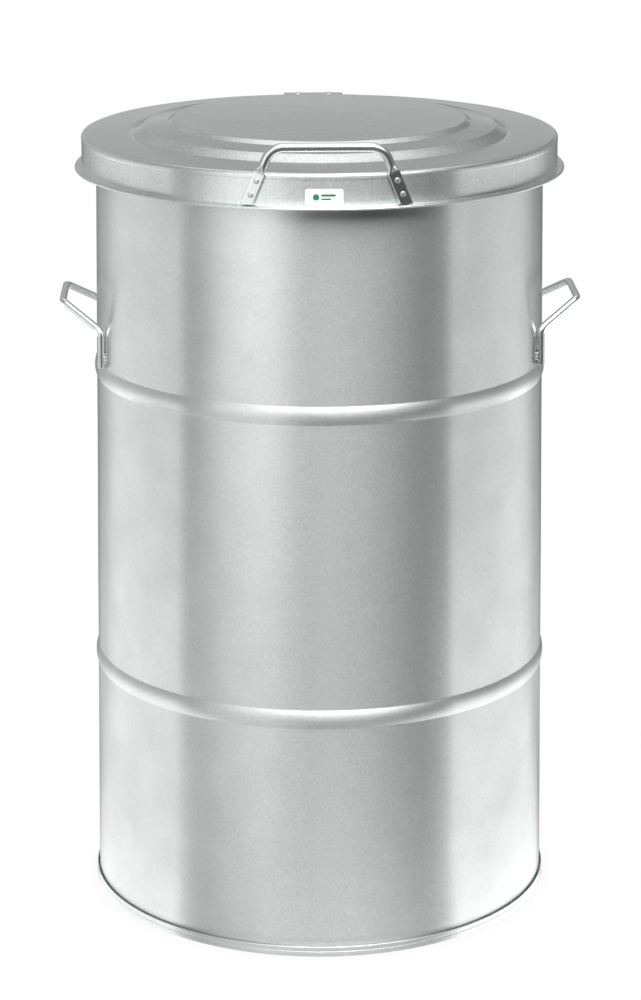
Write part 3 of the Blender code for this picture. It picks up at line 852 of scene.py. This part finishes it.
def add_leaf(name, path, half_width, body, node, notch_half_width=None):
    """A strip of hinge leaf along a path of (y, z) points, with softened edges."""
    outline = path + offset_path(path, LEAF)[::-1]
    rings = [[(x, y, z) for y, z in outline] for x in (-half_width, half_width)]
    piece = add_piece(name, loft_mesh(name, rings), body, HINGE_STRIP, [node])
    cutter = None
    if notch_half_width:
        cutter_mesh = bpy.data.meshes.new("notch")
        work = bmesh.new()
        bmesh.ops.create_cube(work, size=1.0)
        work.to_mesh(cutter_mesh)
        work.free()
        cutter_mesh.transform(Matrix.Diagonal((2 * notch_half_width, *KNUCKLE_NOTCH, 1)))
        cutter_mesh.transform(Matrix.Translation((0, HINGE_Y, HINGE_Z)))
        cutter = bpy.data.objects.new("notch", cutter_mesh)
        bpy.context.scene.collection.objects.link(cutter)
        cut = piece.modifiers.new("Notch", "BOOLEAN")
        cut.object = cutter
    bevel = piece.modifiers.new("Edges", "BEVEL")
    bevel.width = EDGE_BEVEL
    bevel.segments = 2
    bevel.limit_method = "ANGLE"
    bevel.angle_limit = math.radians(50)
    bpy.context.view_layer.update()
    applied(piece)
    if cutter:
        bpy.data.objects.remove(cutter, do_unlink=True)


def build_hinge():
    top = LID_TOP + LEAF_LIFT + LEAF
    back = HINGE_Y + BARREL_RADIUS
    bend = LID_LEAF_BEND
    lid_path = [(LID_LEAF_FRONT, top)] + arc(back - bend, top - bend, bend, 90, 0)
    lid_path += arc(HINGE_Y, HINGE_Z, BARREL_RADIUS, 0, -290)
    notch = BODY_LEAF_HALF_WIDTH + 2 * GAP
    add_leaf("lid_leaf", lid_path, LID_LEAF_HALF_WIDTH, LID, "hinge_lid_leaf", notch)
    wall_face = lowest("hinge_body_leaf").y
    shelf = HINGE_Z - BARREL_RADIUS
    body_path = [(wall_face, BODY_LEAF_FOOT)]
    bend = WALL_LEAF_BEND
    body_path += arc(wall_face + bend, shelf + LEAF - bend, bend, 180, 90)
    body_path += arc(HINGE_Y, HINGE_Z, BARREL_RADIUS - LEAF, -90, 200)
    add_leaf("wall_leaf", body_path, BODY_LEAF_HALF_WIDTH, CAN, "hinge_body_leaf")


def build_hinge_pin():
    half = highest("hinge_pin").x
    head_radius = (highest("hinge_pin").z - lowest("hinge_pin").z) / 2
    head_length = half - LID_LEAF_HALF_WIDTH - GAP
    corners = [(0.0, half, 0), (head_radius, half, 0.0006), (head_radius, half - head_length, 0.0002)]
    corners += [(PIN_RADIUS, half - head_length, 0), (PIN_RADIUS, 0.0, 0)]
    upper = filleted(corners)
    outline = upper + [(radius, -height) for radius, height in upper[-2::-1]]
    mesh = turned_mesh("knuckle_pin", outline, closed=False, segments=40)
    mesh.transform(Matrix.Translation((0, HINGE_Y, HINGE_Z)) @ Matrix.Rotation(math.pi / 2, 4, "Y"))
    add_piece("knuckle_pin", mesh, CAN, HINGE_STRIP, ["hinge_pin"])


def build_leaf_rivets():
    for hand in ("left", "right"):
        node = "lid_leaf_rivet_" + hand
        seat = middle(node)
        seat.z = LID_TOP + LEAF_LIFT + LEAF
        add_rivet(node, seat, (0, 0, 1), LID_LEAF_RIVET, LID)
        for level in ("lower", "upper"):
            node = "body_leaf_rivet_%s_%s" % (level, hand)
            seat = middle(node)
            seat.y = lowest("hinge_body_leaf").y + LEAF
            add_rivet(node, seat, (0, 1, 0), BODY_LEAF_RIVET, CAN)


# --- Studio ---------------------------------------------------------------------------

# Soft panels as reflections see them, in degrees, laid over one another in this order:
# azimuth, half width, its softness, lowest, highest, their softness, brightness.
# Azimuth 0 is the camera's side, 90 is the right and 180 is behind the can.
ZENITH = 90
PANELS = {
    "backdrop": (180, 80, 15, 5, ZENITH, 3, 0.47),
    "backdrop_glow": (180, 25, 8, 3, 7, 2, 1.10),
    "backdrop_foot": (180, 22, 6, -ZENITH, 3, 2, 0.10),
    "left_gap": (-157, 9, 6, 10, 30, 5, 0.30),
    "right_gap": (157, 10, 6, 10, 30, 5, 0.10),
    "left_wall": (-110, 32, 2, -ZENITH, 35, 10, 0.48),
    "right_wall": (106, 36, 2, -ZENITH, 35, 10, 0.21),
    "left_foot": (-110, 32, 2, -ZENITH, -16, 4, 2.10),
    "right_foot": (106, 36, 2, -ZENITH, -16, 4, 2.40),
    "left_far": (-140, 24, 16, -14, 35, 6, 0.60),
    "right_far": (138, 26, 18, -14, 35, 6, 0.38),
    "left_far_foot": (-154, 13, 3, -ZENITH, -17, 3, 1.50),
    "right_far_foot": (154, 13, 3, -ZENITH, -17, 3, 1.50),
    "low_rear": (180, 112, 4, -ZENITH, -32, 5, 0.45),
    "front_ceiling": (14, 40, 28, 28, ZENITH, 7, 5.60),
    "top_light": (180, 75, 20, 57, ZENITH, 17, 1.50),
}
# The room behind the panels: brightness by azimuth
ROOM = (
    (-100, 0.05),
    (-68, 0.60),
    (-46, 0.84),
    (-36, 0.84),
    (-4, 0.18),
    (30, 0.08),
    (50, 0.12),
    (66, 0.33),
)
WHITE = 1.0

# The floor's glow as reflections see it: brightness, then patches of azimuth, half width,
# softness and brightness. It fades between the two radii.
FLOOR_GLOW = 0.42
FLOOR_PATCHES = {
    "left": (-118, 40, 2, 1.36),
    "right": (111, 41, 2, 1.64),
    "key": (-36, 18, 16, 0.60),
}
FLOOR_FADE = (0.33, 0.80)
FLOOR_HALF_SIZE = 25.0
FLOOR_DROP = 0.0005  # under the can's foot, so that the two faces don't coincide
CONTACT_REACH = 0.03
CONTACT_WHITE = 0.94

# The key lamp: a soft panel that stands close to the can
KEY_AZIMUTH = math.radians(-33)
KEY_DISTANCE = 1.30
KEY_HALF_WIDTH = 0.75
KEY_BOTTOM = 0.45
KEY_TOP = 1.50
KEY_LEVEL = 0.60
KEY_CORE = 0.02
KEY_FOOT_FADE = 0.20
KEY_HEAD_FADE = 0.25


def azimuth_mask(graph, azimuth, centre, half, soft):
    """1 at the centre, easing to 0 from half - soft to half + soft degrees off it."""
    turned = graph.math("SUBTRACT", azimuth, centre)
    off = graph.math("ABSOLUTE", graph.math("WRAP", turned, 180.0, -180.0))
    return graph.ramp(off, half - soft, half + soft, 1, 0)


def panel_mask(graph, azimuth, elevation, panel):
    """1 inside the panel and 0 outside it, with soft edges."""
    centre, half, soft, low, high, soft_up = panel
    mask = azimuth_mask(graph, azimuth, centre, half, soft)
    if low > -ZENITH:
        mask = graph.math("MULTIPLY", mask, graph.ramp(elevation, low - soft_up, low + soft_up))
    if high < ZENITH:
        top = graph.ramp(elevation, high - soft_up, high + soft_up, 1, 0)
        mask = graph.math("MULTIPLY", mask, top)
    return mask


def azimuth_of(graph, x, y):
    """Degrees from the camera's side, growing towards +X."""
    return graph.math("DEGREES", graph.math("ARCTAN2", x, graph.math("MULTIPLY", y, -1.0)))


def build_world():
    """A room of soft panels for reflections, and plain white for the camera."""
    world = bpy.data.worlds.new("studio")
    bpy.context.scene.world = world
    world.use_nodes = True
    graph = Graph(world.node_tree)
    direction = graph.node("ShaderNodeTexCoord").outputs["Generated"]
    x, y, z = graph.node("ShaderNodeSeparateXYZ", {0: direction}).outputs
    azimuth = azimuth_of(graph, x, y)
    elevation = graph.math("DEGREES", graph.math("ARCSINE", z))
    light = graph.profile(azimuth, ROOM)
    for panel in PANELS.values():
        light = graph.mix(panel_mask(graph, azimuth, elevation, panel[:-1]), light, panel[-1])
    seen = graph.node("ShaderNodeLightPath").outputs["Is Camera Ray"]
    shown = graph.mix(seen, light, WHITE)
    backdrop = graph.node("ShaderNodeBackground", {"Strength": shown})
    graph.node("ShaderNodeOutputWorld", {"Surface": backdrop.outputs[0]})


def stage_plane(name, corners):
    """A flat emitter outside the object, with a fresh node graph."""
    mesh = bpy.data.meshes.new(name)
    mesh.from_pydata(corners, [], [tuple(range(len(corners)))])
    plane = bpy.data.objects.new(name, mesh)
    bpy.context.scene.collection.objects.link(plane)
    material = bpy.data.materials.new(name)
    material.use_nodes = True
    mesh.materials.append(material)
    plane.visible_shadow = False
    return plane, Graph(material.node_tree)


def build_floor():
    """A white floor with a faint contact shadow; reflections see a pool of light round the can."""
    half = FLOOR_HALF_SIZE
    corners = [(-half, -half, 0), (half, -half, 0), (half, half, 0), (-half, half, 0)]
    floor, graph = stage_plane("studio_floor", corners)
    floor.location.z = -FLOOR_DROP
    floor.active_material.cycles.emission_sampling = "NONE"
    occlusion = graph.node("ShaderNodeAmbientOcclusion", {"Distance": CONTACT_REACH}, samples=8)
    shown = graph.ramp(occlusion.outputs["AO"], 0.3, 0.9, CONTACT_WHITE, WHITE)
    geometry = graph.node("ShaderNodeNewGeometry").outputs
    x, y, _ = graph.node("ShaderNodeSeparateXYZ", {0: geometry["Incoming"]}).outputs
    azimuth = graph.math("SUBTRACT", azimuth_of(graph, x, y), 180.0)
    glow = FLOOR_GLOW
    for centre, half_width, soft, level in FLOOR_PATCHES.values():
        glow = graph.mix(azimuth_mask(graph, azimuth, centre, half_width, soft), glow, level)
    reach = graph.distance_from_axis(geometry["Position"])
    camera_ray = graph.node("ShaderNodeLightPath").outputs["Is Camera Ray"]
    strength = graph.mix(camera_ray, glow, shown)
    fade = graph.ramp(reach, *FLOOR_FADE)
    fade = graph.math("MULTIPLY", fade, graph.math("SUBTRACT", 1.0, camera_ray))
    fade = graph.math("MAXIMUM", fade, geometry["Backfacing"])
    light = graph.node("ShaderNodeEmission", {"Strength": strength}).outputs[0]
    clear = graph.node("ShaderNodeBsdfTransparent").outputs[0]
    shader = graph.node("ShaderNodeMixShader", {0: fade, 1: light, 2: clear})
    graph.node("ShaderNodeOutputMaterial", {"Surface": shader.outputs[0]})


def build_key_lamp():
    """A panel with soft edges, turned to face the can and seen only by the object."""
    w = KEY_HALF_WIDTH
    corners = [(-w, 0, KEY_BOTTOM), (w, 0, KEY_BOTTOM), (w, 0, KEY_TOP), (-w, 0, KEY_TOP)]
    lamp, graph = stage_plane("key_lamp", corners)
    lamp.location = (
        KEY_DISTANCE * math.sin(KEY_AZIMUTH),
        -KEY_DISTANCE * math.cos(KEY_AZIMUTH),
        0,
    )
    lamp.rotation_euler.z = KEY_AZIMUTH
    lamp.visible_camera = False
    place = graph.node("ShaderNodeTexCoord").outputs["Object"]
    x, _, z = graph.node("ShaderNodeSeparateXYZ", {0: place}).outputs
    across = graph.ramp(graph.math("ABSOLUTE", x), KEY_CORE, w, KEY_LEVEL, 0)
    foot = graph.ramp(z, KEY_BOTTOM, KEY_BOTTOM + KEY_FOOT_FADE)
    head = graph.ramp(z, KEY_TOP - KEY_HEAD_FADE, KEY_TOP, 1, 0)
    strength = graph.math("MULTIPLY", graph.math("MULTIPLY", across, foot), head)
    light = graph.node("ShaderNodeEmission", {"Strength": strength}).outputs[0]
    clear = graph.node("ShaderNodeBsdfTransparent").outputs[0]
    shader = graph.node("ShaderNodeAddShader", {0: light, 1: clear})
    graph.node("ShaderNodeOutputMaterial", {"Surface": shader.outputs[0]})


# The lens is shifted, as a view camera's is, so that the can's sides stay upright
CAMERA_DISTANCE = 3.5077
CAMERA_HEIGHT = 1.4357
CAMERA_AZIMUTH = math.radians(-1.7)
CAMERA_PITCH = math.radians(4.505)
LENS = 113.8
LENS_SHIFT = (0.0010, -0.6498)


def shift_driver(camera, channel, amount):
    """Shifts the lens only while the camera stands at its own place."""
    driver = camera.data.driver_add(channel).driver
    driver.type = "SCRIPTED"
    for name, axis in (("y", "LOC_Y"), ("z", "LOC_Z")):
        variable = driver.variables.new()
        variable.name = name
        variable.type = "TRANSFORMS"
        variable.targets[0].id = camera
        variable.targets[0].transform_type = axis
    place = camera.location
    near = "abs(y - %.4f) < 0.01 and abs(z - %.4f) < 0.01" % (place.y, place.z)
    driver.expression = "%.4f if %s else 0.0" % (amount, near)


def build_camera():
    scene = bpy.context.scene
    camera = bpy.data.objects.new("camera", bpy.data.cameras.new("camera"))
    scene.collection.objects.link(camera)
    scene.camera = camera
    camera.data.lens = LENS
    camera.data.clip_end = 100.0
    camera.location = (
        CAMERA_DISTANCE * math.sin(CAMERA_AZIMUTH),
        -CAMERA_DISTANCE * math.cos(CAMERA_AZIMUTH),
        CAMERA_HEIGHT,
    )
    camera.rotation_euler = (math.pi / 2 - CAMERA_PITCH, 0, CAMERA_AZIMUTH)
    bpy.context.view_layer.update()
    shift_driver(camera, "shift_x", LENS_SHIFT[0])
    shift_driver(camera, "shift_y", LENS_SHIFT[1])


build_wall()
build_base()
build_rim_wire()
build_carrying_handles()
build_lid()
build_lid_handle()
build_strap_rivets()
build_label()
build_hinge()
build_hinge_pin()
build_leaf_rivets()
build_world()
build_floor()
build_key_lamp()
build_camera()
bpy.context.scene.view_settings.view_transform = "Standard"
